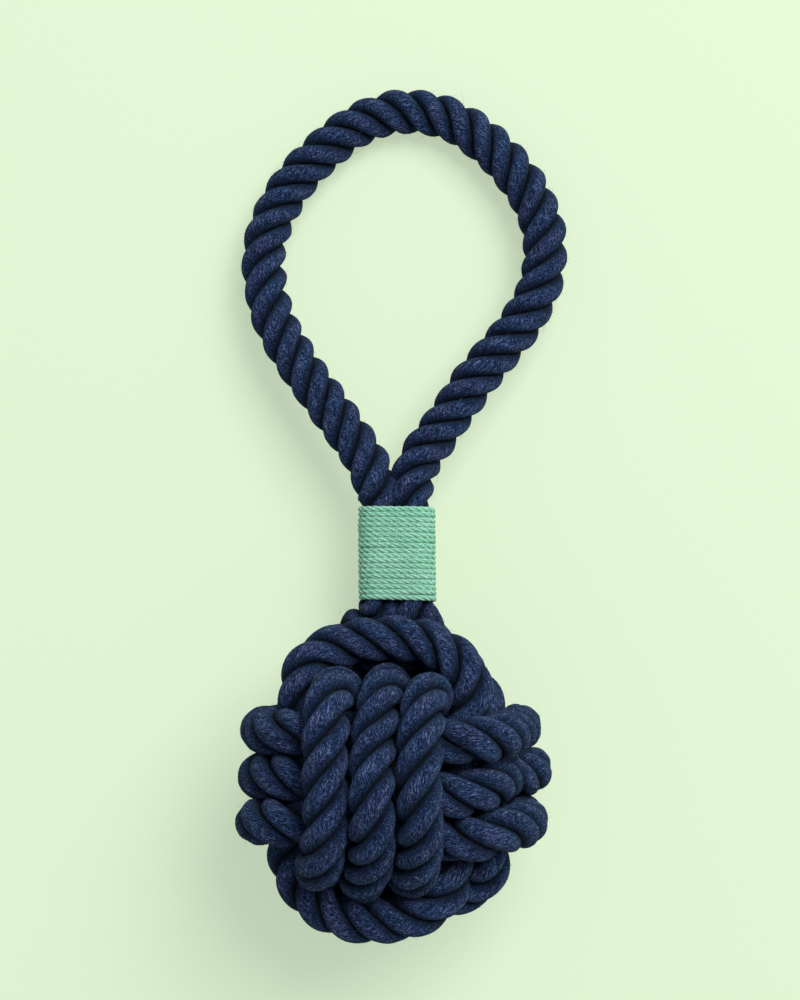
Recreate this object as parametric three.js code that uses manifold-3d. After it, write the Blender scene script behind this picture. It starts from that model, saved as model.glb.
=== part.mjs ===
import * as THREE from 'three';
import { mergeVertices } from 'three/addons/utils/BufferGeometryUtils.js';
import Module from 'manifold-3d';

// A dog's rope toy of one rope: a monkey's fist knot tied round a ball, a whipped neck and a
// handle loop. Millimetres, +Z up. The toy lies on the ground: the fist stands over the origin,
// the handle points along +Y and its tip comes down to the ground. +X is the right side seen
// from above.

// Rope: free in the handle, drawn tight in the knot and squeezed by the whipping in the neck
const handleRopeDiameter = 15;
const knotRopeDiameter = 14.2;
const neckRopeDiameter = 12;
const thicknessBlend = 22; // length beside the neck in which the rope gets its thickness back
const pressedShare = 0.1; // of the rope's diameter, where it lies on the ground
const pieceClearance = 0.3; // between two pieces of the rope that meet end to end
const ropeSides = 6;
const ringEvery = 2; // steps of the route from one ring of the rope's tube to the next

// Knot: three coils square to each other, each going outside on two faces, inside on two others
const turnsPerCoil = 3;
const coreDiameter = 40;
const coreClearance = 0.55;
const turnClearance = 0.95;
const fistHeight = 47.8; // of the knot's middle above the ground
const asideShares = [1.4, 1.7]; // how far a coil's end goes sideways to where the next begins

// Settling: the coils are laid loosely, drawn tight, and pushed apart wherever they touch
const routeStep = 3.2;
const looseShare = 1.12;
const slackRounds = 300;
const tightRounds = 300;
const slackTension = 0.18;
const tightTension = 0.03;
const squeezeStep = 0.06; // towards the knot's middle in each slack round
const combShare = 0.05; // of an outside turn's way sideways to where it belongs, each round
const pushShare = 0.4;
const ownReach = 1.7; // rope diameters along the rope within which it doesn't push itself

// Legs between the knot and the neck, and the rope's end, tucked in behind the crown coil.
// These places and the neck's are measured from the knot's middle.
const rightLegPlaces = [[19, 41, -32.8], [11, 49, -26.8]];
const leftLegPlaces = [[-12, 51, -26.8], [-20, 43, -29.8], [-26, 34, -29.8], [-27, 28, -25.8]];

// Neck: two legs of the rope side by side, under a whipping of twine
const neckStart = [0.7, 54.5, -19.1];
const neckEnd = [0, 93.8, -22];
const neckGap = 0.5;
const neckShares = [0, 0.12, 0.5, 0.88, 1];
const twineDiameter = 1.3;
const twineGap = 0.48;
const twineClearance = 0.45;
const whippingTurns = 18;
const stepsPerTurn = 24;
const twineSides = 6;

// Handle: places of the rope's middle in X and Y, from the right leg round to the left leg
const handlePlaces = [
  [6.7, 98.5], [9, 106], [14.5, 116], [21, 126], [28, 136], [36.5, 146.5], [44.5, 157],
  [49.3, 168], [50.8, 180], [48.5, 192.5], [42, 204.5], [31.5, 216.5], [17, 226.5], [0.5, 230],
  [-15.5, 225.5], [-28.5, 215.5], [-38, 205], [-44.3, 195], [-47.8, 184.5], [-48.5, 173.5],
  [-46.5, 163], [-42.5, 152.5], [-36, 141.5], [-28.5, 131], [-20.5, 120.5], [-14, 110],
  [-9.6, 99.5],
];
const handleSides = 8;

const coreDetail = 3;
const groundBlock = 600;
const colours = { rope: 0x22304b, twine: 0x84bda3, core: 0x9c7a52 };
const roughnesses = { rope: 0.95, twine: 0.85, core: 0.7 };

const wasm = await Module();
wasm.setup();

const turnPitch = knotRopeDiameter + turnClearance;
const innerReach = coreDiameter / 2 + coreClearance + knotRopeDiameter / 2;
const laidPitch = turnPitch * looseShare;
const laidInner = innerReach * looseShare;
const laidOuter = (innerReach + turnPitch) * looseShare;
const knotMiddle = new THREE.Vector3(0, 0, fistHeight);
const legSpread = (neckRopeDiameter + neckGap) / 2;
const fromKnot = (place) => new THREE.Vector3(...place).add(knotMiddle);
const neckLine = new THREE.Line3(fromKnot(neckStart), fromKnot(neckEnd));

const pressedHeight = (diameter) => diameter * (1 / 2 - pressedShare);

// A coil's three axes: out of the two faces where its turns lie outside, out of the two faces
// where they lie inside, and across the turns
const frontAxes = ['z', 'y', 'x'];
const crownAxes = ['y', 'x', 'z'];
const sideAxes = ['x', 'z', 'y'];

function knotPoint(axes, outward, inward, across) {
  const point = knotMiddle.clone();
  point[axes[0]] += outward;
  point[axes[1]] += inward;
  point[axes[2]] += across;
  return point;
}

// The places of one pass over a face, before, at and after its middle
const passSteps = [-1, 0, 1];

// An inside pass also shifts to the next turn
function passPlaces(axes, outside, side, way, across, nextAcross = across) {
  return passSteps.map((step) => {
    const along = way * step * laidPitch;
    const sideways = across + ((nextAcross - across) * (step + 1)) / 2;
    return outside
      ? knotPoint(axes, side * laidOuter, along, sideways)
      : knotPoint(axes, along, side * laidInner, sideways);
  });
}

// A coil's turns go outside, inside, outside on the far side, and inside on the way to the next
function coilPlaces(axes, way, firstAcross) {
  const list = [];
  const middle = (turnsPerCoil - 1) / 2;
  for (let turn = 0; turn < turnsPerCoil; turn += 1) {
    const across = (firstAcross * (middle - turn)) / middle;
    const nextAcross = (firstAcross * (middle - turn - 1)) / middle;
    list.push(...passPlaces(axes, true, way, way, across));
    list.push(...passPlaces(axes, false, way, -way, across));
    list.push(...passPlaces(axes, true, -way, -way, across));
    if (turn < turnsPerCoil - 1) {
      list.push(...passPlaces(axes, false, -way, way, across, nextAcross));
    }
  }
  return list;
}

// The last turn's way back inside, swinging aside and out to where the next coil begins
function swingPlaces(axes, way, across) {
  const halfOut = (laidInner + laidOuter) / 2;
  return [
    knotPoint(axes, -way * laidPitch, -way * laidInner, across),
    knotPoint(axes, 0, -way * laidInner, across * asideShares[0]),
    knotPoint(axes, way * laidPitch, -way * halfOut, across * asideShares[1]),
  ];
}

function neckPlaces(side) {
  return neckShares.map((share) => {
    const place = neckLine.at(share, new THREE.Vector3());
    return place.setX(place.x + side * legSpread);
  });
}

// The handle slopes evenly from the neck down to the ground at its tip
function handlePlace([x, y]) {
  const tipY = Math.max(...handlePlaces.map((place) => place[1]));
  const share = (y - neckLine.end.y) / (tipY - neckLine.end.y);
  const height = THREE.MathUtils.lerp(neckLine.end.z, pressedHeight(handleRopeDiameter), share);
  return new THREE.Vector3(x, y, height);
}

// The whole rope as stretches in the order of tying, from its hidden start to its tucked end
const stretches = [
  {
    name: 'start',
    places: [
      knotPoint(frontAxes, 0, -laidInner, -laidPitch),
      knotPoint(frontAxes, laidPitch, -laidInner, -laidPitch),
    ],
  },
  { name: 'front', axes: frontAxes, places: coilPlaces(frontAxes, 1, -laidPitch) },
  { name: 'frontSwing', places: swingPlaces(frontAxes, 1, laidPitch) },
  { name: 'crown', axes: crownAxes, places: coilPlaces(crownAxes, -1, laidPitch) },
  { name: 'crownSwing', places: swingPlaces(crownAxes, -1, -laidPitch) },
  { name: 'side', axes: sideAxes, places: coilPlaces(sideAxes, 1, -laidPitch) },
  { name: 'sideSwing', places: swingPlaces(sideAxes, 1, laidPitch) },
  { name: 'rightLeg', places: rightLegPlaces.map(fromKnot) },
  { name: 'rightNeck', places: neckPlaces(1) },
  { name: 'handle', places: handlePlaces.map(handlePlace) },
  { name: 'leftNeck', places: neckPlaces(-1).reverse() },
  { name: 'leftLeg', places: leftLegPlaces.map(fromKnot) },
];

// Points about one step apart on a smooth curve through the places, and each place's index
function pointsThrough(places) {
  const curve = new THREE.CatmullRomCurve3(places, false, 'centripetal');
  const points = [];
  const indexOfPlace = [];
  for (let i = 0; i < places.length - 1; i += 1) {
    const chord = places[i].distanceTo(places[i + 1]);
    const count = Math.max(1, Math.round(chord / routeStep));
    indexOfPlace.push(points.length);
    for (let j = 0; j < count; j += 1) {
      points.push(curve.getPoint((i + j / count) / (places.length - 1)));
    }
  }
  indexOfPlace.push(points.length);
  points.push(places[places.length - 1].clone());
  return { points, indexOfPlace };
}

// Where a coil's outside passes lie on the route, and where they belong across the turns
function outsidePassesOf(axes, places, indices) {
  const axis = axes[2];
  const passes = [];
  for (let first = 0; first < places.length; first += 2 * passSteps.length) {
    const laidAcross = places[first][axis] - knotMiddle[axis];
    passes.push({
      from: indices[first],
      to: indices[first + passSteps.length - 1],
      axis,
      level: knotMiddle[axis] + laidAcross / looseShare,
    });
  }
  return passes;
}

const { points: route, indexOfPlace } = pointsThrough(stretches.flatMap(({ places }) => places));
const spans = {};
const outsidePasses = [];
let placesBefore = 0;
for (const { name, axes, places } of stretches) {
  const indices = indexOfPlace.slice(placesBefore, placesBefore + places.length);
  const from = indices[0];
  const to = indices[places.length - 1];
  spans[name] = { from, to, middle: Math.round((from + to) / 2) };
  if (axes) outsidePasses.push(...outsidePassesOf(axes, places, indices));
  placesBefore += places.length;
}

function lengthsAlong(line) {
  const lengths = [0];
  for (let i = 1; i < line.length; i += 1) {
    lengths.push(lengths[i - 1] + line[i].distanceTo(line[i - 1]));
  }
  return lengths;
}

function diametersAlong(line) {
  const lengths = lengthsAlong(line);
  const necks = [spans.rightNeck, spans.leftNeck];
  return line.map((point, i) => {
    const inHandle = i > spans.rightNeck.to && i < spans.leftNeck.from;
    const fromNeck = necks.map(({ from, to }) => (
      Math.max(lengths[from] - lengths[i], lengths[i] - lengths[to], 0)
    ));
    return THREE.MathUtils.lerp(
      neckRopeDiameter,
      inHandle ? handleRopeDiameter : knotRopeDiameter,
      THREE.MathUtils.smoothstep(Math.min(...fromNeck), 0, thicknessBlend),
    );
  });
}

// Calls back with every two points that aren't neighbours along the line
function forEachPair(count, apart, visit) {
  for (let i = 0; i < count; i += 1) {
    for (let j = i + apart; j < count; j += 1) visit(i, j);
  }
}

const pointsApart = Math.ceil((ownReach * knotRopeDiameter) / routeStep);

function pushApart(line, diameters, isFixed, moves) {
  const offset = new THREE.Vector3();
  forEachPair(line.length, pointsApart, (i, j) => {
    if (isFixed(i) && isFixed(j)) return;
    const needed = (diameters[i] + diameters[j]) / 2 + turnClearance;
    if (offset.subVectors(line[i], line[j]).lengthSq() >= needed * needed) return;
    offset.setLength(pushShare * (needed - offset.length()));
    moves[i].add(offset);
    moves[j].sub(offset);
  });
}

// Moves the turns on the outside sideways, as a comb does, so that they lie straight and even
function combTurns(line, share, moves) {
  for (const { from, to, axis, level } of outsidePasses) {
    for (let i = from; i <= to; i += 1) moves[i][axis] += share * (level - line[i][axis]);
  }
}

// Keeps a point off the core and the ground, and in a slack round draws it inwards
function keepPlace(point, diameter, isSlack, move) {
  const outward = new THREE.Vector3().subVectors(point, knotMiddle);
  const coreReach = (coreDiameter + diameter) / 2 + coreClearance;
  const outOfCore = Math.max(coreReach - outward.length(), 0);
  const inwards = isSlack ? squeezeStep : 0;
  move.addScaledVector(outward.normalize(), outOfCore - inwards);
  move.z += Math.max(pressedHeight(diameter) - point.z, 0);
}

// Settles the knot and its legs: neck, handle and the rope's last point stay where they are
function settle(line) {
  const diameters = diametersAlong(line);
  const isFixed = (i) => (
    (i >= spans.rightNeck.from && i <= spans.leftNeck.to) || i === line.length - 1
  );
  for (let round = 0; round < slackRounds + tightRounds; round += 1) {
    const isSlack = round < slackRounds;
    const fading = Math.min((slackRounds + tightRounds - round) / tightRounds, 1);
    const tension = (isSlack ? slackTension : tightTension) * fading;
    const moves = line.map((point, i) => {
      const move = new THREE.Vector3();
      if (i === 0 || i === line.length - 1) return move;
      return move.addVectors(line[i - 1], line[i + 1]).divideScalar(2).sub(point)
        .multiplyScalar(tension);
    });
    pushApart(line, diameters, isFixed, moves);
    combTurns(line, combShare * fading, moves);
    line.forEach((point, i) => keepPlace(point, diameters[i], isSlack, moves[i]));
    line.forEach((point, i) => {
      if (!isFixed(i)) point.add(moves[i]);
    });
  }
}

// The whipping's line: turns round both legs, from under the middle of the neck and back
function twineLine() {
  const bend = neckRopeDiameter / 2 + twineClearance + twineDiameter / 2;
  const quarter = Math.PI / 2;
  const round = new THREE.Path();
  round.moveTo(0, -bend);
  round.lineTo(legSpread, -bend);
  round.absarc(legSpread, 0, bend, -quarter, quarter);
  round.lineTo(-legSpread, bend);
  round.absarc(-legSpread, 0, bend, quarter, 3 * quarter);
  round.lineTo(0, -bend);

  const along = neckLine.delta(new THREE.Vector3()).normalize();
  const upward = new THREE.Vector3(1, 0, 0).cross(along).normalize();
  const sideways = new THREE.Vector3().crossVectors(along, upward);
  const line = [];
  for (let step = 0; step <= whippingTurns * stepsPerTurn; step += 1) {
    const turn = step / stepsPerTurn;
    const place = round.getPointAt(turn % 1);
    const advance = (turn - whippingTurns / 2) * (twineDiameter + twineGap);
    line.push(neckLine.getCenter(new THREE.Vector3())
      .addScaledVector(along, advance)
      .addScaledVector(sideways, place.x)
      .addScaledVector(upward, place.y));
  }
  return line;
}

function tangentsAlong(line) {
  return line.map((point, i) => {
    const before = line[Math.max(i - 1, 0)];
    const after = line[Math.min(i + 1, line.length - 1)];
    return new THREE.Vector3().subVectors(after, before).normalize();
  });
}

// A closed tube along a line, each ring turned from the last as little as can be
function tube(line, tangents, diameters, sideCount) {
  const corners = [];
  const triangles = [];
  const isSteep = Math.abs(tangents[0].z) > Math.abs(tangents[0].x);
  const start = isSteep ? new THREE.Vector3(1, 0, 0) : new THREE.Vector3(0, 0, 1);
  const normal = start.cross(tangents[0]).normalize();
  line.forEach((point, i) => {
    const tangent = tangents[i];
    const turn = new THREE.Quaternion().setFromUnitVectors(tangents[Math.max(i - 1, 0)], tangent);
    normal.applyQuaternion(turn).addScaledVector(tangent, -normal.dot(tangent)).normalize();
    const binormal = new THREE.Vector3().crossVectors(tangent, normal);
    for (let side = 0; side < sideCount; side += 1) {
      const angle = (2 * Math.PI * side) / sideCount;
      const corner = point.clone()
        .addScaledVector(normal, (Math.cos(angle) * diameters[i]) / 2)
        .addScaledVector(binormal, (Math.sin(angle) * diameters[i]) / 2);
      corners.push(...corner);
    }
  });
  for (let ring = 0; ring < line.length - 1; ring += 1) {
    for (let side = 0; side < sideCount; side += 1) {
      const here = ring * sideCount + side;
      const next = ring * sideCount + ((side + 1) % sideCount);
      triangles.push(here, next, here + sideCount);
      triangles.push(next, next + sideCount, here + sideCount);
    }
  }
  const last = (line.length - 1) * sideCount;
  for (let side = 1; side < sideCount - 1; side += 1) {
    triangles.push(0, side + 1, side);
    triangles.push(last, last + side, last + side + 1);
  }
  const geometry = new THREE.BufferGeometry();
  geometry.setAttribute('position', new THREE.Float32BufferAttribute(corners, 3));
  geometry.setIndex(triangles);
  return geometry;
}

function solidOf(geometry) {
  const bare = geometry.clone();
  bare.deleteAttribute('normal');
  bare.deleteAttribute('uv');
  const merged = mergeVertices(bare);
  return new wasm.Manifold(new wasm.Mesh({
    numProp: 3,
    vertProperties: new Float32Array(merged.attributes.position.array),
    triVerts: new Uint32Array(merged.index.array),
  }));
}

function geometryOf(solid) {
  const mesh = solid.getMesh();
  const geometry = new THREE.BufferGeometry();
  geometry.setAttribute('position', new THREE.BufferAttribute(mesh.vertProperties, 3));
  geometry.setIndex(new THREE.BufferAttribute(mesh.triVerts, 1));
  return geometry;
}

function cutAtGround(geometry) {
  const block = new THREE.BoxGeometry(groundBlock, groundBlock, groundBlock);
  block.translate(0, 0, -groundBlock / 2);
  return geometryOf(solidOf(geometry).subtract(solidOf(block)));
}

function printLeastGap(name, line, diameters, apart) {
  let least = Infinity;
  forEachPair(line.length, apart, (i, j) => {
    const gap = line[i].distanceTo(line[j]) - (diameters[i] + diameters[j]) / 2;
    least = Math.min(least, gap);
  });
  console.log(`${name}: least gap to itself ${least.toFixed(2)} mm`);
}

const model = new THREE.Group();

function add(name, geometry, material) {
  geometry.computeVertexNormals();
  const mesh = new THREE.Mesh(geometry, new THREE.MeshStandardMaterial({
    color: colours[material],
    roughness: roughnesses[material],
    metalness: 0,
  }));
  mesh.name = name;
  model.add(mesh);
}

// A piece of the rope between two points of the route, its ends drawn back from its neighbours
function addRopePiece(name, from, to, sideCount) {
  const count = Math.round((to - from) / ringEvery);
  const rings = Array.from({ length: count + 1 }, (ring, i) => (
    Math.round(from + ((to - from) * i) / count)
  ));
  const line = rings.map((i) => route[i].clone());
  const tangents = rings.map((i) => routeTangents[i]);
  line[0].addScaledVector(tangents[0], pieceClearance / 2);
  line[count].addScaledVector(tangents[count], -pieceClearance / 2);
  const diameters = rings.map((i) => routeDiameters[i]);
  add(name, cutAtGround(tube(line, tangents, diameters, sideCount)), 'rope');
  printLeastGap(name, route.slice(from, to + 1), routeDiameters.slice(from, to + 1), pointsApart);
}

settle(route);
const routeTangents = tangentsAlong(route);
const routeDiameters = diametersAlong(route);
printLeastGap('the whole rope', route, routeDiameters, pointsApart);

addRopePiece('front_turns', 0, spans.frontSwing.middle, ropeSides);
addRopePiece('crown_turns', spans.frontSwing.middle, spans.crownSwing.middle, ropeSides);
addRopePiece('side_turns', spans.crownSwing.middle, spans.rightNeck.middle, ropeSides);
addRopePiece('handle_loop', spans.rightNeck.middle, route.length - 1, handleSides);

const twine = twineLine();
const twineDiameters = twine.map(() => twineDiameter);
add('whipping', tube(twine, tangentsAlong(twine), twineDiameters, twineSides), 'twine');
printLeastGap('whipping', twine, twineDiameters, stepsPerTurn / 2);

const core = new THREE.IcosahedronGeometry(coreDiameter / 2, coreDetail);
add('core', core.translate(...knotMiddle), 'core');

export default model;
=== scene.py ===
"""The looks of a rope dog toy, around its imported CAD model.

Lengths are millimetres in the CAD model's axes until a mesh, lamp or camera is made, which is in
metres. The rope's route is worked out as in the CAD source: places on one smooth curve, settled
until no two turns of the knot are too near each other. Where soft rope gives, the route is then
pressed in a little. The rope is built along it, strand by strand, and the whipping's twine in the
same way.
"""

import math
from collections import namedtuple

import bpy
import numpy as np
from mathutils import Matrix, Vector


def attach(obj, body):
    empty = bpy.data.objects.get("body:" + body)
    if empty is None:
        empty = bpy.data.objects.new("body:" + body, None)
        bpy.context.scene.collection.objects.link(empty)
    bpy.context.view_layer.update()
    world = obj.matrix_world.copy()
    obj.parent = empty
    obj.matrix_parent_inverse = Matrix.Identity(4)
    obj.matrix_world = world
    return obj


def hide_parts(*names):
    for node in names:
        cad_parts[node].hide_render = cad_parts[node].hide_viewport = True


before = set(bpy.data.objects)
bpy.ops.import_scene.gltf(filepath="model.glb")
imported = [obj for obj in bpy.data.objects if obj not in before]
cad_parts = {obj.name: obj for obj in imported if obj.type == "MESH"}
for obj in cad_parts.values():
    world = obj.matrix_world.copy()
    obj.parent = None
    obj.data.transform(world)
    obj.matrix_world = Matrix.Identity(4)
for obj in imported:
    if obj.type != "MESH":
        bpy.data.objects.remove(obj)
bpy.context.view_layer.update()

MM = 0.001
SEED = 11

# Sizes of the CAD model
HANDLE_ROPE, KNOT_ROPE, NECK_ROPE = 15.0, 14.2, 12.0
THICKNESS_BLEND = (0.0, 22.0)
PRESSED_SHARE = 0.1
TURNS_PER_COIL = 3
CORE_DIAMETER, CORE_CLEARANCE, TURN_CLEARANCE = 40.0, 0.55, 0.95
FIST_HEIGHT = 47.8
ASIDE_SHARES = (1.4, 1.7)
ROUTE_STEP, LOOSE_SHARE = 3.2, 1.12
SLACK_ROUNDS, TIGHT_ROUNDS = 300, 300
SLACK_TENSION, TIGHT_TENSION = 0.18, 0.03
SQUEEZE_STEP, COMB_SHARE, PUSH_SHARE, OWN_REACH = 0.06, 0.05, 0.4, 1.7
NECK_GAP, NECK_SHARES = 0.5, (0, 0.12, 0.5, 0.88, 1)
TWINE, TWINE_GAP, TWINE_CLEARANCE, WHIPPING_TURNS = 1.3, 0.48, 0.45, 18

# Places from the knot's middle, and the handle's in X and Y
RIGHT_LEG = [(19, 41, -32.8), (11, 49, -26.8)]
LEFT_LEG = [(-12, 51, -26.8), (-20, 43, -29.8), (-26, 34, -29.8), (-27, 28, -25.8)]
NECK_START, NECK_END = (0.7, 54.5, -19.1), (0, 93.8, -22)
HANDLE = [
    (6.7, 98.5), (9, 106), (14.5, 116), (21, 126), (28, 136), (36.5, 146.5), (44.5, 157),
    (49.3, 168), (50.8, 180), (48.5, 192.5), (42, 204.5), (31.5, 216.5), (17, 226.5), (0.5, 230),
    (-15.5, 225.5), (-28.5, 215.5), (-38, 205), (-44.3, 195), (-47.8, 184.5), (-48.5, 173.5),
    (-46.5, 163), (-42.5, 152.5), (-36, 141.5), (-28.5, 131), (-20.5, 120.5), (-14, 110),
    (-9.6, 99.5),
]

TURN_PITCH = KNOT_ROPE + TURN_CLEARANCE
INNER_REACH = CORE_DIAMETER / 2 + CORE_CLEARANCE + KNOT_ROPE / 2
LAID_PITCH = TURN_PITCH * LOOSE_SHARE
LAID_INNER = INNER_REACH * LOOSE_SHARE
LAID_OUTER = (INNER_REACH + TURN_PITCH) * LOOSE_SHARE
KNOT_MIDDLE = np.array([0, 0, FIST_HEIGHT])
NECK_LINE = np.array([NECK_START, NECK_END]) + KNOT_MIDDLE
LEG_SPREAD = (NECK_ROPE + NECK_GAP) / 2
POINTS_APART = math.ceil(OWN_REACH * KNOT_ROPE / ROUTE_STEP)
PASS_STEPS = (-1, 0, 1)

# Where soft rope gives: the legs beside the whipping, and the knot's outermost bends
LEG_PULL, PULL_RISE, PULL_FALL = 1.9, (-8.0, 5.0), (9.0, 30.0)
SIDE_PRESS, LOW_PRESS, PRESS_REACH, KNOT_END = 4.0, 2.5, (20.0, 50.0), (40.0, 60.0)
FREE_BEND = (4.0, 12.0)

# How a rope's strands or a twine's plies look: the count, the points across each, the reach in the
# grooves between them as a share of the radius, and the powers that shape their round tops
Lay = namedtuple("Lay", "count samples groove powers")

# Looks of the rope: three plump strands, a little fuller than the solids
KNOT_FULLNESS, HANDLE_FULLNESS = 1.09, 1.05
NECK_BLEND = (-5.0, 1.5)
LAY_IN_KNOT, LAY_IN_HANDLE = 33.0, 28.5
ROPE_SMOOTHING, RING_STEP, GROUND_GAP = 2, 0.9, 0.05
STRANDS = Lay(count=3, samples=28, groove=0.48, powers=(2.0, 0.58))
SWELL, SWELL_WAVELENGTH = 0.03, 17.0
LEAN, LEAN_WAVELENGTH = 0.1, 23.0
YARN_RIDGES, YARN_RELIEF, YARN_WAVELENGTH = 30, 0.022, 8.0

# Looks of the loose fibres: curved spikes with three corners, a few of them longer, paler lint
FIBRES, LINT_SHARE = 16000, 0.004
FIBRE_LENGTHS, FIBRE_RADIUS = (0.5, 1.9), 0.032
LINT_LENGTH, LINT_RADIUS = 2.6, 0.06
FIBRE_RISE, FIBRE_SCATTER, FIBRE_BEND, FIBRE_DROOP = 0.5, 0.45, 0.5, 0.15
FIBRE_STAGES, FIBRE_TAPER = (0, 0.33, 0.67, 1), (1, 0.9, 0.7, 0.2)
FIBRE_CORNERS = ((1, 0), (-0.5, 0.87), (-0.5, -0.87))

# Looks of the whipping: a twine of three plies, its ends tucked in between the legs
STEPS_PER_TURN, TWINE_SMOOTHING, TWINE_STEP = 96, 4, 0.45
TWINE_RADIUS, TWINE_LAY = 1.04, 8.0
PLIES = Lay(count=3, samples=9, groove=0.52, powers=(2.0, 0.55))
TWINE_PRESS, TUCK_DEPTH, TUCK_STEPS = 0.8, 4.0, 6
TWINE_WOBBLE, WOBBLE_WAVELENGTH = 0.13, 13.0

# Looks of the core: a ball with its mould's seam
BALL_RINGS, BALL_SIDES, BALL_POLE = 65, 96, 0.02
SEAM_HEIGHT, SEAM_WIDTH = 0.25, 0.03

# Where the faces lie in the export's textures, as shares of the texture, a column or a cell
ROPE_COLUMNS, TWINE_COLUMNS = 4, 13
SKIN_MARGIN, SKIN_FOOT, SKIN_SHARE = 0.02, 0.01, 0.96
CAP_RADIUS, CAP_PLACES = 0.012, ((0.25, 0.985), (0.75, 0.985))
CELL_MARGIN, CELL_SHARE = 0.1, 0.8

# Camera and light, as in the photograph, whose height and focal length are in its pixels
CAMERA_TILT = math.radians(6.5)
CAMERA_DISTANCE, CAMERA_SHIFT, NEAR_CLIP = 901.0, (3.7, 92.7), 50.0
PHOTO_HEIGHT, FOCAL_LENGTH = 1000, 2672
LAMP_PLACE, LAMP_AIM = (1100.0, 1300.0, 2100.0), (0.0, 80.0, 0.0)
LAMP_SIZE, LAMP_WATTS = 1500.0, 72.0
SKY_COLOUR, SKY_STRENGTH = (0.82, 0.92, 1, 1), 0.38
FLOOR_REACH, BACKDROP_SHARE = 3000.0, 0.58


def pressed_height(diameter):
    return diameter * (1 / 2 - PRESSED_SHARE)


# The rope's route


def knot_point(axes, outward, inward, across):
    """The place at these distances from the knot's middle, along a coil's own three axes."""
    point = KNOT_MIDDLE.copy()
    for axis, distance in zip(axes, (outward, inward, across)):
        point["xyz".index(axis)] += distance
    return point


def pass_places(axes, outside, side, way, across, next_across=None):
    """One straight pass of a turn, outside or inside, which may move over to the next turn."""
    places = []
    for step in PASS_STEPS:
        along = way * step * LAID_PITCH
        shift = 0 if next_across is None else (next_across - across) * (step + 1) / 2
        if outside:
            places.append(knot_point(axes, side * LAID_OUTER, along, across + shift))
        else:
            places.append(knot_point(axes, along, side * LAID_INNER, across + shift))
    return places


def coil_places(axes, way, first_across):
    """A coil's turns, each two passes outside and two inside the coil before it."""
    places = []
    middle = (TURNS_PER_COIL - 1) / 2
    for turn in range(TURNS_PER_COIL):
        across = first_across * (middle - turn) / middle
        next_across = first_across * (middle - turn - 1) / middle
        places += pass_places(axes, True, way, way, across)
        places += pass_places(axes, False, way, -way, across)
        places += pass_places(axes, True, -way, -way, across)
        if turn < TURNS_PER_COIL - 1:
            places += pass_places(axes, False, -way, way, across, next_across)
    return places


def swing_places(axes, way, across):
    """The way out of a coil's last turn, aside and into the next coil."""
    half_out = (LAID_INNER + LAID_OUTER) / 2
    return [
        knot_point(axes, -way * LAID_PITCH, -way * LAID_INNER, across),
        knot_point(axes, 0, -way * LAID_INNER, across * ASIDE_SHARES[0]),
        knot_point(axes, way * LAID_PITCH, -way * half_out, across * ASIDE_SHARES[1]),
    ]


def neck_places(side):
    middles = [NECK_LINE[0] + (NECK_LINE[1] - NECK_LINE[0]) * share for share in NECK_SHARES]
    return [middle + np.array([side * LEG_SPREAD, 0, 0]) for middle in middles]


def handle_place(place):
    x, y = place
    neck_y, neck_z = NECK_LINE[1, 1:]
    share = (y - neck_y) / (max(handle_y for _, handle_y in HANDLE) - neck_y)
    return np.array([x, y, neck_z + (pressed_height(HANDLE_ROPE) - neck_z) * share])


def rope_stretches():
    """The whole rope's places in the order of tying, and the axes of each coil."""
    coils = {"front": ("zyx", 1, -1), "crown": ("yxz", -1, 1), "side": ("xzy", 1, -1)}
    axes, _, _ = coils["front"]
    places = {"start": [
        knot_point(axes, 0, -LAID_INNER, -LAID_PITCH),
        knot_point(axes, LAID_PITCH, -LAID_INNER, -LAID_PITCH),
    ]}
    for name, (axes, way, first) in coils.items():
        places[name] = coil_places(axes, way, first * LAID_PITCH)
        places[name + "_swing"] = swing_places(axes, way, -first * LAID_PITCH)
    places["right_leg"] = [KNOT_MIDDLE + place for place in RIGHT_LEG]
    places["right_neck"] = neck_places(1)
    places["handle"] = [handle_place(place) for place in HANDLE]
    places["left_neck"] = neck_places(-1)[::-1]
    places["left_leg"] = [KNOT_MIDDLE + place for place in LEFT_LEG]
    return places, {name: axes for name, (axes, _, _) in coils.items()}


def curve_points(places):
    """Points a step apart on a centripetal Catmull-Rom curve, and the index of each place."""
    padded = np.vstack([2 * places[0] - places[1], places, 2 * places[-1] - places[-2]])
    points, index_of_place = [], []
    for i in range(len(places) - 1):
        x0, x1, x2, x3 = padded[i:i + 4]
        count = max(1, round(np.linalg.norm(x2 - x1) / ROUTE_STEP))
        d0, d1, d2 = (np.linalg.norm(b - a) ** 0.5 for a, b in ((x0, x1), (x1, x2), (x2, x3)))
        slope1 = ((x1 - x0) / d0 - (x2 - x0) / (d0 + d1) + (x2 - x1) / d1) * d1
        slope2 = ((x2 - x1) / d1 - (x3 - x1) / (d1 + d2) + (x3 - x2) / d2) * d1
        t = (np.arange(count) / count)[:, None]
        index_of_place.append(len(points))
        points.extend(
            x1 + slope1 * t
            + (-3 * x1 + 3 * x2 - 2 * slope1 - slope2) * t ** 2
            + (2 * x1 - 2 * x2 + slope1 + slope2) * t ** 3
        )
    index_of_place.append(len(points))
    points.append(places[-1])
    return np.array(points), index_of_place


def lengths_along(line):
    """How far each point is from the line's start."""
    return np.append(0, np.cumsum(np.linalg.norm(np.diff(line, axis=0), axis=1)))


def smoothstep(value, low, high):
    """Rises smoothly from 0 at low to 1 at high."""
    t = np.clip((value - low) / (high - low), 0, 1)
    return t * t * (3 - 2 * t)


def lengths_from(line, spans, neck):
    """How far along the rope each point is past the ends of a leg of the neck, below 0 in it."""
    lengths = lengths_along(line)
    return np.maximum(lengths[spans[neck][0]] - lengths, lengths - lengths[spans[neck][1]])


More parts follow.
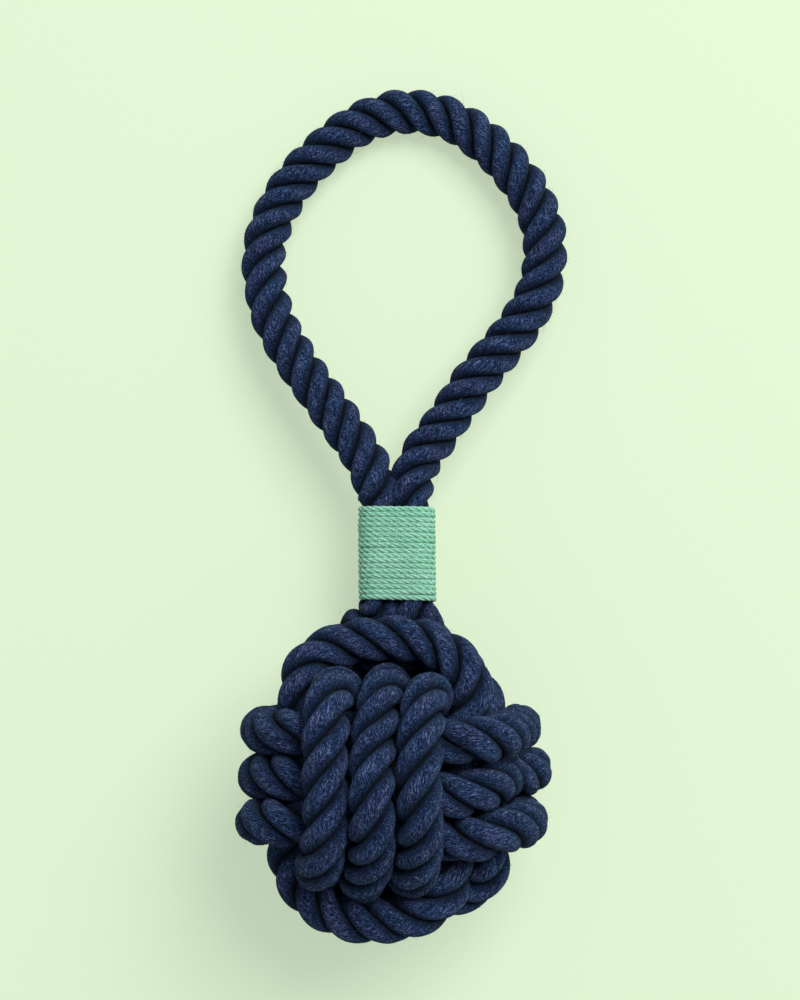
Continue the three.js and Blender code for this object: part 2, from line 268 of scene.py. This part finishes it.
def diameters_along(line, spans, knot_rope, handle_rope, neck_rope, blend):
    """The rope's thickness at each point, which grows along the blend from the neck's ends."""
    from_neck = np.minimum(lengths_from(line, spans, "right_neck"),
                           lengths_from(line, spans, "left_neck"))
    index = np.arange(len(line))
    in_handle = (index > spans["right_neck"][1]) & (index < spans["left_neck"][0])
    free = np.where(in_handle, handle_rope, knot_rope)
    return neck_rope + (free - neck_rope) * smoothstep(from_neck, *blend)


def outside_passes(places, axes, indices):
    """Where a coil's outside passes lie on the route, and where they belong across the turns."""
    axis = "xyz".index(axes[2])
    for first in range(0, len(places), 2 * len(PASS_STEPS)):
        laid_across = places[first][axis] - KNOT_MIDDLE[axis]
        part = slice(indices[first], indices[first + len(PASS_STEPS) - 1] + 1)
        yield part, axis, KNOT_MIDDLE[axis] + laid_across / LOOSE_SHARE


def settle(line, spans, passes):
    """Draws the knot tight and pushes its turns apart, as the CAD source does."""
    diameters = diameters_along(line, spans, KNOT_ROPE, HANDLE_ROPE, NECK_ROPE, THICKNESS_BLEND)
    index = np.arange(len(line))
    fixed = (index >= spans["right_neck"][0]) & (index <= spans["left_neck"][1])
    fixed[-1] = True
    may_push = np.triu(np.ones((len(line),) * 2, bool), POINTS_APART)
    may_push &= ~(fixed[:, None] & fixed[None])
    needed = (diameters[:, None] + diameters[None]) / 2 + TURN_CLEARANCE
    for turn in range(SLACK_ROUNDS + TIGHT_ROUNDS):
        is_slack = turn < SLACK_ROUNDS
        fading = min((SLACK_ROUNDS + TIGHT_ROUNDS - turn) / TIGHT_ROUNDS, 1)
        moves = np.zeros_like(line)
        moves[1:-1] = (line[:-2] + line[2:]) / 2 - line[1:-1]
        moves *= (SLACK_TENSION if is_slack else TIGHT_TENSION) * fading

        squares = (line ** 2).sum(1)
        distances = squares[:, None] + squares[None] - 2 * line @ line.T
        i, j = np.nonzero(may_push & (distances < needed ** 2))
        offsets = line[i] - line[j]
        distances = np.linalg.norm(offsets, axis=1)
        pushes = offsets * (PUSH_SHARE * (needed[i, j] / distances - 1))[:, None]
        np.add.at(moves, i, pushes)
        np.add.at(moves, j, -pushes)
        for part, axis, level in passes:
            moves[part, axis] += COMB_SHARE * fading * (level - line[part, axis])

        outward = line - KNOT_MIDDLE
        reach = np.linalg.norm(outward, axis=1)
        core_reach = (CORE_DIAMETER + diameters) / 2 + CORE_CLEARANCE
        shift = np.maximum(core_reach - reach, 0) - (SQUEEZE_STEP if is_slack else 0)
        moves += outward * (shift / reach)[:, None]
        moves[:, 2] += np.maximum(pressed_height(diameters) - line[:, 2], 0)
        line[~fixed] += moves[~fixed]
    return line


def rope_route():
    """The settled line of the whole rope, and where each stretch of it begins and ends."""
    stretches, axes_of_coil = rope_stretches()
    line, index_of_place = curve_points(np.array(sum(stretches.values(), [])))
    spans, passes, placed = {}, [], 0
    for name, places in stretches.items():
        indices = index_of_place[placed:placed + len(places)]
        spans[name] = (indices[0], indices[-1])
        if name in axes_of_coil:
            passes += outside_passes(places, axes_of_coil[name], indices)
        placed += len(places)
    return settle(line, spans, passes), spans


def legs_drawn_in(line, spans):
    """The line with the two legs pulled against each other where they leave the whipping."""
    line = line.copy()
    for neck, side in (("right_neck", 1), ("left_neck", -1)):
        past = lengths_from(line, spans, neck)
        line[:, 0] -= side * LEG_PULL * smoothstep(past, *PULL_RISE) * (
            1 - smoothstep(past, *PULL_FALL))
    return line


def knot_pressed(line):
    """The line with the knot's outermost bends pressed inward, at its left, right and bottom.

    The middle bend on the left stays free, so that it reaches as far as the two beside it.
    """
    line = line.copy()
    x, y = line[:, 0], line[:, 1]
    pressed = 1 - smoothstep(y, *KNOT_END)
    pressed *= np.where(x < 0, smoothstep(np.abs(y), *FREE_BEND), 1)
    x -= np.sign(x) * SIDE_PRESS * pressed * smoothstep(np.abs(x), *PRESS_REACH)
    y += LOW_PRESS * smoothstep(-y, *PRESS_REACH)
    return line


def twine_line():
    """The whipping's line round both legs, pressed into them, from under the neck's middle."""
    bend = NECK_ROPE / 2 + TWINE_CLEARANCE + TWINE / 2 - TWINE_PRESS
    half, arc = LEG_SPREAD, math.pi * bend
    along = NECK_LINE[1] - NECK_LINE[0]
    along /= np.linalg.norm(along)
    upward = np.cross([1, 0, 0], along)
    upward /= np.linalg.norm(upward)
    sideways = np.cross(along, upward)
    turn = np.arange(WHIPPING_TURNS * STEPS_PER_TURN + 1) / STEPS_PER_TURN
    at = (turn % 1) * (4 * half + 2 * arc)
    on_right = np.clip(at - half, 0, arc) / bend
    on_left = np.clip(at - 3 * half - arc, 0, arc) / bend
    out = (np.clip(at, 0, half) - np.clip(at - half - arc, 0, 2 * half)
           + np.clip(at - 3 * half - 2 * arc, 0, half)
           + bend * (np.sin(on_right) - np.sin(on_left)))
    up = bend * (np.cos(on_left) - np.cos(on_right) - 1)
    advance = (turn - WHIPPING_TURNS / 2) * (TWINE + TWINE_GAP)
    line = (NECK_LINE.mean(0) + advance[:, None] * along + out[:, None] * sideways
            + up[:, None] * upward)
    return line, upward


# Laid rope and twine


def smoothed(line, passes):
    """The line with each point drawn halfway to the middle of its neighbours, in each pass."""
    line = line.copy()
    for _ in range(passes):
        line[1:-1] = line[1:-1] / 2 + (line[:-2] + line[2:]) / 4
    return line


def resampled(line, step, substeps=8):
    """Points at even steps on a smooth curve through the line, and their lengths along it.

    The third result is each point's place on the old line, as an index with a fraction.
    """
    padded = np.vstack([2 * line[0] - line[1], line, 2 * line[-1] - line[-2]])
    t = np.linspace(0, 1, substeps, endpoint=False)[:, None]
    fine = []
    for i in range(len(line) - 1):
        a, b, c, d = padded[i:i + 4]
        fine.append(b + ((c - a) * t + (2 * a - 5 * b + 4 * c - d) * t ** 2
                         + (3 * b - 3 * c + d - a) * t ** 3) / 2)
    fine = np.vstack(fine + [line[-1:]])
    lengths = lengths_along(fine)
    at = np.linspace(0, lengths[-1], round(lengths[-1] / step) + 1)
    points = np.column_stack([np.interp(at, lengths, fine[:, axis]) for axis in range(3)])
    return points, at, np.interp(at, lengths, np.arange(len(fine)) / substeps)


def frames_along(line):
    """Unit tangents, and two normals that turn about them as little as can be."""
    tangents = np.gradient(line, axis=0)
    tangents /= np.linalg.norm(tangents, axis=1)[:, None]
    normals = np.empty_like(line)
    normal = np.eye(3)[np.argmin(np.abs(tangents[0]))]
    for i, tangent in enumerate(tangents):
        normal = normal - tangent * (normal @ tangent)
        normal /= np.linalg.norm(normal)
        normals[i] = normal
    return tangents, normals, np.cross(tangents, normals)


def wave(rng, lengths, wavelength):
    """A gentle random wave along a line, between about -1 and 1."""
    knots = rng.uniform(-1, 1, int(lengths[-1] / wavelength) + 3)
    at = lengths / wavelength
    low = at.astype(int)
    t = smoothstep(at - low, 0, 1)
    return knots[low] * (1 - t) + knots[low + 1] * t


def yarn_ridges(rng, angles, lengths):
    """Random ridges that run along a rope and fade in and out, between about -1 and 1."""
    knots = rng.uniform(-1, 1, (YARN_RIDGES, int(lengths[-1] / YARN_WAVELENGTH) + 3))
    around = angles / (2 * np.pi) % 1 * YARN_RIDGES
    along = np.broadcast_to(lengths[:, None] / YARN_WAVELENGTH, angles.shape)
    i, j = around.astype(int) % YARN_RIDGES, along.astype(int)
    beside = (i + 1) % YARN_RIDGES
    s, t = smoothstep(around % 1, 0, 1), smoothstep(along % 1, 0, 1)
    near = knots[i, j] * (1 - s) + knots[beside, j] * s
    far = knots[i, j + 1] * (1 - s) + knots[beside, j + 1] * s
    return near * (1 - t) + far * t


class Laid:
    """A rope or twine laid of strands: rings of points, each strand a plump ridge.

    radii and turn_lengths are the radius and the length of one full twist at each point of the
    line. straight holds every point's place on the straight rope in millimetres, for the shaders,
    and crest is 0 in the grooves between the strands and 1 on top of them. On the ground the rope
    is pressed flat.
    """

    def __init__(self, line, lengths, radii, turn_lengths, lay, rng):
        self.line = line
        self.tangents, normals, binormals = frames_along(line)
        twist = np.append(0, np.cumsum(2 * np.pi * np.diff(lengths) / turn_lengths[1:]))[:, None]
        across = np.sin(np.pi * ((np.arange(lay.samples) + 0.5) / lay.samples - 0.5))[None]
        plump = (1 - np.abs(across) ** lay.powers[0]) ** lay.powers[1]
        angles, reaches = [], []
        for strand in range(lay.count):
            swell = (1 + SWELL * wave(rng, lengths, SWELL_WAVELENGTH))[:, None]
            lean = LEAN * wave(rng, lengths, LEAN_WAVELENGTH)[:, None] * (1 - across ** 2)
            angles.append(twist + 2 * np.pi * (strand + (across + lean) / 2) / lay.count)
            reaches.append(radii[:, None] * swell * (lay.groove + (1 - lay.groove) * plump))
        angles, reaches = np.hstack(angles), np.hstack(reaches)
        self.crest = np.broadcast_to(np.tile(plump, lay.count), angles.shape)
        reaches *= 1 + YARN_RELIEF * yarn_ridges(rng, angles, lengths) * self.crest
        cosines, sines = reaches * np.cos(angles), reaches * np.sin(angles)
        self.points = (line[:, None] + cosines[..., None] * normals[:, None]
                       + sines[..., None] * binormals[:, None])
        self.points[..., 2] = np.maximum(self.points[..., 2], GROUND_GAP)
        along = np.broadcast_to(lengths[:, None], angles.shape)
        self.straight = np.stack([cosines, sines, along], axis=-1)


def new_piece(name, vertices, faces, material, flat_faces=0):
    """A mesh object, smooth but for its last flat_faces faces."""
    mesh = bpy.data.meshes.new(name)
    mesh.from_pydata((vertices * MM).tolist(), [], faces)
    smooth = [True] * (len(faces) - flat_faces) + [False] * flat_faces
    mesh.polygons.foreach_set("use_smooth", smooth)
    mesh.materials.append(material)
    piece = bpy.data.objects.new(name, mesh)
    bpy.context.scene.collection.objects.link(piece)
    return piece


def add_attribute(piece, name, kind, key, values):
    """Stores a value for each point of a mesh, which its shader reads by name."""
    layer = piece.data.attributes.new(name, kind, "POINT")
    layer.data.foreach_set(key, np.asarray(values, np.float32).ravel())


def add_bake_map(piece, corners):
    """Lays the faces out flat for the export's textures; corners are in the faces' order."""
    layer = piece.data.uv_layers.new(name="OFBake")
    layer.data.foreach_set("uv", np.asarray(corners, np.float32).ravel())


def with_middles(rings):
    """The rings' points in one list, followed by the middles of the first and the last ring."""
    return np.vstack([rings.reshape(-1, 3), rings[0].mean(0), rings[-1].mean(0)])


def skin_quads(rings, around):
    """The faces along a tube, between its rings."""
    row, side = np.divmod(np.arange((rings - 1) * around), around)
    next_side = (side + 1) % around
    return np.stack([row * around + side, row * around + next_side,
                     (row + 1) * around + next_side, (row + 1) * around + side], axis=-1)


def cap_triangles(rings, around):
    """The faces over a tube's two ends, each round a middle point that comes after the rings."""
    side = np.arange(around)
    next_side = (side + 1) % around
    last = (rings - 1) * around
    middle = np.full(around, rings * around)
    return np.vstack([np.stack([side, middle, next_side], axis=-1),
                      np.stack([last + next_side, middle + 1, last + side], axis=-1)])


def tube_bake_map(rings, around, columns):
    """The skin in columns side by side, and both caps as small discs in a strip above them."""
    row, side = np.divmod(np.arange((rings - 1) * around), around)
    rows_each = math.ceil((rings - 1) / columns)
    column, row = np.divmod(row, rows_each)
    share_round = (side[:, None] + [0, 1, 1, 0]) / around
    u = (column[:, None] + SKIN_MARGIN + SKIN_SHARE * share_round) / columns
    v = SKIN_FOOT + SKIN_SHARE * (row[:, None] + [0, 0, 1, 1]) / rows_each
    skin = np.stack([u, v], axis=-1).reshape(-1, 2)
    side = np.arange(around)
    turn = 2 * np.pi * np.stack([side, side, (side + 1) % around], axis=-1) / around
    reach = CAP_RADIUS * np.array([1, 0, 1])
    disc = np.stack([reach * np.cos(turn), reach * np.sin(turn)], axis=-1).reshape(-1, 2)
    return np.vstack([skin] + [disc + place for place in CAP_PLACES])


def tube_piece(name, rings, material, columns):
    """One closed mesh with a skin over the rings and a cap on each end."""
    size = rings.shape[:2]
    caps = cap_triangles(*size).tolist()
    piece = new_piece(name, with_middles(rings), skin_quads(*size).tolist() + caps, material,
                      flat_faces=len(caps))
    add_bake_map(piece, tube_bake_map(*size, columns))
    return piece


def laid_piece(name, laid, first, last, material, columns):
    """One piece of a rope or twine, of the rings from first to last, and what its shader needs."""
    part = slice(first, last + 1)
    piece = tube_piece(name, laid.points[part], material, columns)
    add_attribute(piece, "straight", "FLOAT_VECTOR", "vector", with_middles(laid.straight[part]))
    add_attribute(piece, "crest", "FLOAT", "value", np.append(laid.crest[part], [1, 1]))
    return piece


def fibre_piece(name, laid, rng, material):
    """Fine loose fibres that stand off the rope's outside, each a thin, curved spike."""
    outward = np.linalg.norm(laid.line - KNOT_MIDDLE, axis=1)
    is_outside = outward > CORE_DIAMETER / 2 + KNOT_ROPE
    ring = rng.choice(np.flatnonzero(is_outside), FIBRES)
    side = rng.integers(0, laid.points.shape[1], FIBRES)
    root = laid.points[ring, side]
    normal = root - laid.line[ring]
    normal /= np.linalg.norm(normal, axis=1)[:, None]
    way = rng.choice([-1, 1], FIBRES)[:, None] * laid.tangents[ring]
    start = way + FIBRE_RISE * normal + rng.normal(0, FIBRE_SCATTER, (FIBRES, 3))
    bend = rng.normal(0, FIBRE_BEND, (FIBRES, 3)) - FIBRE_DROOP * normal
    tone = rng.uniform(0, 1, FIBRES)
    is_lint = tone > 1 - LINT_SHARE
    length = np.where(is_lint, LINT_LENGTH, rng.uniform(*FIBRE_LENGTHS, FIBRES))[:, None, None]
    stage = np.array(FIBRE_STAGES)[None, :, None]
    middle = root[:, None] + length * (stage * start[:, None] + stage ** 2 * bend[:, None])
    middle[..., 2] = np.maximum(middle[..., 2], GROUND_GAP + LINT_RADIUS)
    sideways = np.cross(start, normal)
    sideways /= np.linalg.norm(sideways, axis=1)[:, None]
    corners = np.stack([x * sideways + y * normal for x, y in FIBRE_CORNERS], axis=1)
    radius = np.where(is_lint, LINT_RADIUS, FIBRE_RADIUS)[:, None, None, None]
    thickness = radius * np.array(FIBRE_TAPER)[None, :, None, None]
    vertices = middle[:, :, None] + thickness * corners[:, None]

    rings, around = len(FIBRE_STAGES), len(FIBRE_CORNERS)
    quads = skin_quads(rings, around)
    faces = (quads[None] + rings * around * np.arange(FIBRES)[:, None, None]).reshape(-1, 4)
    piece = new_piece(name, vertices.reshape(-1, 3), faces.tolist(), material)
    add_attribute(piece, "tone", "FLOAT", "value", np.repeat(tone, rings * around))
    across = math.ceil(math.sqrt(FIBRES))
    cell = np.stack(np.divmod(np.arange(FIBRES), across), axis=-1)[:, None, None] / across
    row, side = np.divmod(quads[:, :1], around)
    patch = np.stack([(side + [0, 1, 1, 0]) / around, (row + [0, 0, 1, 1]) / (rings - 1)], axis=-1)
    in_cell = CELL_MARGIN + CELL_SHARE * patch
    add_bake_map(piece, (cell + in_cell[None] / across).reshape(-1, 2))
    return piece


def ball_piece(name, material):
    """The rubber ball in the knot: a smooth skin with the mould's thin seam round it."""
    polar = np.linspace(math.pi - BALL_POLE, BALL_POLE, BALL_RINGS)[:, None]
    turn = 2 * np.pi * np.arange(BALL_SIDES)[None] / BALL_SIDES
    seam = SEAM_HEIGHT * np.exp(-((polar - math.pi / 2) / SEAM_WIDTH) ** 2)
    reach = CORE_DIAMETER / 2 + seam
    rings = KNOT_MIDDLE + np.stack([
        reach * np.sin(polar) * np.cos(turn), reach * np.sin(polar) * np.sin(turn),
        reach * np.cos(polar) * np.ones_like(turn)], axis=-1)
    return tube_piece(name, rings, material, columns=1)


# Materials


def shader(name, roughness, specular):
    """A new material, its nodes, and its surface shader."""
    material = bpy.data.materials.new(name)
    material.use_nodes = True
    surface = material.node_tree.nodes["Principled BSDF"]
    surface.inputs["Roughness"].default_value = roughness
    surface.inputs["Specular IOR Level"].default_value = specular
    return material, material.node_tree, surface


def add_node(tree, kind, inputs=(), **settings):
    """Adds a node, sets it, and fills each input with a value or a link."""
    node = tree.nodes.new(kind)
    for key, value in settings.items():
        setattr(node, key, value)
    for key, value in dict(inputs).items():
        if isinstance(value, bpy.types.NodeSocket):
            tree.links.new(value, node.inputs[key])
        else:
            node.inputs[key].default_value = value
    return node


def attribute(tree, name, output="Fac"):
    """What add_attribute has stored under this name."""
    return add_node(tree, "ShaderNodeAttribute", attribute_name=name).outputs[output]


def srgb(red, green, blue):
    """A colour given as it shows on a screen, 0 to 255, as the linear values that Blender wants."""
    shares = np.array([red, green, blue]) / 255
    linear = np.where(shares <= 0.04045, shares / 12.92, ((shares + 0.055) / 1.055) ** 2.4)
    return (*linear.tolist(), 1.0)


def grey(share):
    return (share, share, share, 1)


def noise(tree, vector, scale, stretch=(1, 1, 1), detail=2.0, roughness=0.5):
    """Noise from 0 to 1, its coordinates multiplied by stretch: below 1, it is drawn out longer."""
    mapping = add_node(tree, "ShaderNodeMapping", {"Vector": vector, "Scale": stretch})
    return add_node(tree, "ShaderNodeTexNoise", {
        "Vector": mapping.outputs["Vector"], "Scale": scale, "Detail": detail,
        "Roughness": roughness,
    }).outputs["Fac"]


def ramp(tree, value, stops):
    """A colour for each value, from stops of a position and a colour."""
    node = add_node(tree, "ShaderNodeValToRGB", {"Fac": value})
    elements = node.color_ramp.elements
    while len(elements) < len(stops):
        elements.new(0.5)
    for element, (position, colour) in zip(elements, stops):
        element.position = position
        element.color = colour
    return node.outputs["Color"]


def mix(tree, first, second, share=1.0, blend="MIX"):
    """Mixes two colours. The colour sockets go by number, because their names aren't unique."""
    return add_node(tree, "ShaderNodeMix", {0: share, 6: first, 7: second},
                    data_type="RGBA", blend_type=blend).outputs[2]


def mix_shaders(tree, first, second, share):
    node = add_node(tree, "ShaderNodeMixShader", {0: share, 1: first, 2: second})
    return node.outputs["Shader"]


def finish_surface(tree, surface, colour, height, strength, distance):
    """Gives the surface its colour, and fine relief by a bump of the given height."""
    bump = add_node(tree, "ShaderNodeBump", {
        "Height": height, "Strength": strength, "Distance": distance,
    })
    tree.links.new(colour, surface.inputs["Base Color"])
    tree.links.new(bump.outputs["Normal"], surface.inputs["Normal"])


def rope_material():
    """Dull navy cotton: short fibres along the rope, uneven dye, and painted shade that darkens the
    grooves between the strands.
    """
    material, tree, surface = shader("navy_cotton", roughness=0.95, specular=0.12)
    place, crest = attribute(tree, "straight", "Vector"), attribute(tree, "crest")
    yarns = noise(tree, place, scale=1.1, stretch=(1, 1, 0.12))
    fibres = noise(tree, place, scale=3.5, stretch=(1, 1, 0.24), detail=3.0, roughness=0.75)
    dye = noise(tree, place, scale=0.17, stretch=(1, 1, 0.5))
    height = mix(tree, yarns, fibres, share=0.8)
    colour = ramp(tree, height, [
        (0.38, srgb(1, 9, 26)), (0.46, srgb(13, 30, 59)), (0.54, srgb(50, 67, 106)),
        (0.63, srgb(124, 140, 178)),
    ])
    tint = ramp(tree, dye, [(0.35, srgb(205, 232, 245)), (0.65, srgb(255, 238, 250))])
    colour = mix(tree, colour, tint, blend="MULTIPLY")
    # Painted shade: the colour is darkened towards the grooves between the strands, where shade
    # falls
    painted_groove_shade = ramp(tree, crest, [
        (0.0, srgb(4, 12, 24)), (0.42, srgb(64, 92, 112)), (0.75, srgb(170, 190, 202)),
        (0.97, grey(1)),
    ])
    colour = mix(tree, colour, painted_groove_shade, blend="MULTIPLY")
    finish_surface(tree, surface, colour, height, strength=1.0, distance=0.001)
    surface.inputs["Sheen Weight"].default_value = 0.08
    surface.inputs["Sheen Roughness"].default_value = 0.5
    surface.inputs["Sheen Tint"].default_value = srgb(130, 170, 195)
    return material


def fibre_material():
    """Loose navy fibres, with a few pale ones of lint among them."""
    material, tree, surface = shader("loose_fibres", roughness=0.9, specular=0.2)
    colour = ramp(tree, attribute(tree, "tone"), [
        (0.0, srgb(24, 36, 58)), (0.98, srgb(70, 82, 118)),
        (1 - LINT_SHARE, srgb(170, 176, 184)),
    ])
    tree.links.new(colour, surface.inputs["Base Color"])
    return material


def twine_material():
    """Soft green cotton twine, with painted shade between its plies."""
    material, tree, surface = shader("green_twine", roughness=0.85, specular=0.2)
    place, crest = attribute(tree, "straight", "Vector"), attribute(tree, "crest")
    fibres = noise(tree, place, scale=5.0, stretch=(1, 1, 0.2), detail=3.0, roughness=0.6)
    dye = noise(tree, place, scale=0.6, stretch=(1, 1, 0.1), detail=1.0)
    colour = ramp(tree, fibres, [
        (0.36, srgb(108, 168, 141)), (0.50, srgb(145, 202, 176)), (0.64, srgb(190, 233, 214)),
    ])
    tint = ramp(tree, dye, [(0.35, srgb(235, 250, 240)), (0.65, grey(1))])
    colour = mix(tree, colour, tint, blend="MULTIPLY")
    # Painted shade: the colour is darkened between the plies, where shade falls
    painted_groove_shade = ramp(tree, crest, [(0.0, srgb(140, 176, 158)), (0.7, grey(1))])
    colour = mix(tree, colour, painted_groove_shade, blend="MULTIPLY")
    finish_surface(tree, surface, colour, fibres, strength=0.7, distance=0.0002)
    surface.inputs["Sheen Weight"].default_value = 0.15
    return material


def rubber_material():
    """Natural rubber, a little blotched and dusty."""
    material, tree, surface = shader("tan_rubber", roughness=0.7, specular=0.3)
    place = add_node(tree, "ShaderNodeTexCoord").outputs["Object"]
    blotches = noise(tree, place, scale=160.0, detail=3.0)
    grain = noise(tree, place, scale=1400.0)
    colour = ramp(tree, blotches, [(0.35, srgb(140, 108, 70)), (0.65, srgb(170, 137, 96))])
    finish_surface(tree, surface, colour, grain, strength=0.4, distance=0.0003)
    return material


def floor_material():
    """A smooth painted board, which looks partly like a plain backdrop where it is seen.

    That makes the shadows on it as faint as the photo's, while it lights the toy as a board does.
    """
    material, tree, surface = shader("pale_board", roughness=0.85, specular=0.2)
    place = add_node(tree, "ShaderNodeTexCoord").outputs["Object"]
    grain = noise(tree, place, scale=900.0)
    colour = ramp(tree, grain, [(0.3, srgb(222, 238, 205)), (0.7, srgb(225, 241, 208))])
    tree.links.new(colour, surface.inputs["Base Color"])
    board = surface.outputs["BSDF"]
    backdrop = add_node(tree, "ShaderNodeEmission", {"Color": srgb(227, 246, 212)})
    seen_board = mix_shaders(tree, board, backdrop.outputs["Emission"], BACKDROP_SHARE)
    rays = add_node(tree, "ShaderNodeLightPath").outputs
    is_seen = rays["Is Camera Ray"]
    for kind in ("Is Glossy Ray", "Is Transmission Ray"):
        is_seen = add_node(tree, "ShaderNodeMath", {0: is_seen, 1: rays[kind]},
                           operation="MAXIMUM").outputs["Value"]
    whole = mix_shaders(tree, board, seen_board, is_seen)
    tree.links.new(whole, tree.nodes["Material Output"].inputs["Surface"])
    return material


# The scene


def add_camera():
    """Looks straight down, a little from the right, from where the photo was taken."""
    back = np.array([math.sin(CAMERA_TILT), 0, math.cos(CAMERA_TILT)])
    right = np.array([math.cos(CAMERA_TILT), 0, -math.sin(CAMERA_TILT)])
    along_right, along_y = CAMERA_SHIFT
    place = KNOT_MIDDLE + CAMERA_DISTANCE * back + along_right * right + np.array([0, along_y, 0])
    data = bpy.data.cameras.new("camera")
    data.sensor_fit = "VERTICAL"
    data.angle = 2 * math.atan(PHOTO_HEIGHT / 2 / FOCAL_LENGTH)
    data.clip_start = NEAR_CLIP * MM
    camera = bpy.data.objects.new("camera", data)
    camera.location = place * MM
    camera.rotation_euler = (0, CAMERA_TILT, 0)
    bpy.context.scene.collection.objects.link(camera)
    bpy.context.scene.camera = camera


def add_rope(material, rng):
    """The whole rope in four pieces that meet end to end, as the CAD's nodes do."""
    line, spans = rope_route()
    line = knot_pressed(legs_drawn_in(line, spans))
    fine, lengths, old_index = resampled(smoothed(line, ROPE_SMOOTHING), RING_STEP)
    diameters = diameters_along(line, spans, KNOT_ROPE * KNOT_FULLNESS,
                                HANDLE_ROPE * HANDLE_FULLNESS, NECK_ROPE, NECK_BLEND)
    diameters = np.interp(old_index, np.arange(len(line)), diameters)
    turn_lengths = np.interp(old_index, spans["right_neck"], (LAY_IN_KNOT, LAY_IN_HANDLE))
    laid = Laid(fine, lengths, diameters / 2, turn_lengths, STRANDS, rng)

    cuts = [0] + [round(sum(spans[name]) / 2) for name in
                  ("front_swing", "crown_swing", "right_neck")] + [len(line) - 1]
    cuts = [int(np.argmin(np.abs(old_index - cut))) for cut in cuts]
    nodes = ("front_turns", "crown_turns", "side_turns", "handle_loop")
    for node, first, last in zip(nodes, cuts[:-1], cuts[1:]):
        piece = laid_piece(node + "_rope", laid, first, last, material, ROPE_COLUMNS)
        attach(piece, "root")
        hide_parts(node)
    path = fine[cuts[3]:cuts[4] + 1] * MM
    float(lengths_along(path)[-1])
    return laid


def add_whipping(material, rng):
    line, upward = twine_line()
    tuck = np.linspace(1, 0, TUCK_STEPS, endpoint=False)[:, None] * TUCK_DEPTH * upward
    line = np.vstack([line[0] + tuck, line, line[-1] + tuck[::-1]])
    fine, lengths, _ = resampled(smoothed(line, TWINE_SMOOTHING), TWINE_STEP)
    fine += TWINE_WOBBLE * np.column_stack([wave(rng, lengths, WOBBLE_WAVELENGTH)
                                            for _ in range(3)])
    radii, turn_lengths = np.full(len(fine), TWINE_RADIUS), np.full(len(fine), TWINE_LAY)
    laid = Laid(fine, lengths, radii, turn_lengths, PLIES, rng)
    piece = laid_piece("whipping_twine", laid, 0, len(fine) - 1, material, TWINE_COLUMNS)
    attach(piece, "root")
    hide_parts("whipping")


def add_floor():
    corners = FLOOR_REACH * np.array([(-1, -1, 0), (1, -1, 0), (1, 1, 0), (-1, 1, 0)])
    new_piece("floor", corners, [(0, 1, 2, 3)], floor_material())


def add_light():
    world = bpy.data.worlds.new("studio")
    world.use_nodes = True
    background = world.node_tree.nodes["Background"]
    background.inputs["Color"].default_value = SKY_COLOUR
    background.inputs["Strength"].default_value = SKY_STRENGTH
    bpy.context.scene.world = world
    data = bpy.data.lights.new("key", "AREA")
    data.energy = LAMP_WATTS
    data.size = LAMP_SIZE * MM
    lamp = bpy.data.objects.new("key", data)
    lamp.location = Vector(LAMP_PLACE) * MM
    towards_lamp = Vector(LAMP_PLACE) - Vector(LAMP_AIM)
    lamp.rotation_euler = towards_lamp.to_track_quat("Z", "Y").to_euler()
    bpy.context.scene.collection.objects.link(lamp)
    bpy.context.scene.view_settings.view_transform = "Standard"


rng = np.random.default_rng(SEED)
add_camera()
rope = add_rope(rope_material(), rng)
add_whipping(twine_material(), rng)
fibres = fibre_piece("rope_fibres", rope, rng, fibre_material())
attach(fibres, "root")
ball = ball_piece("core_ball", rubber_material())
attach(ball, "root")
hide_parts("core")
add_floor()
add_light()
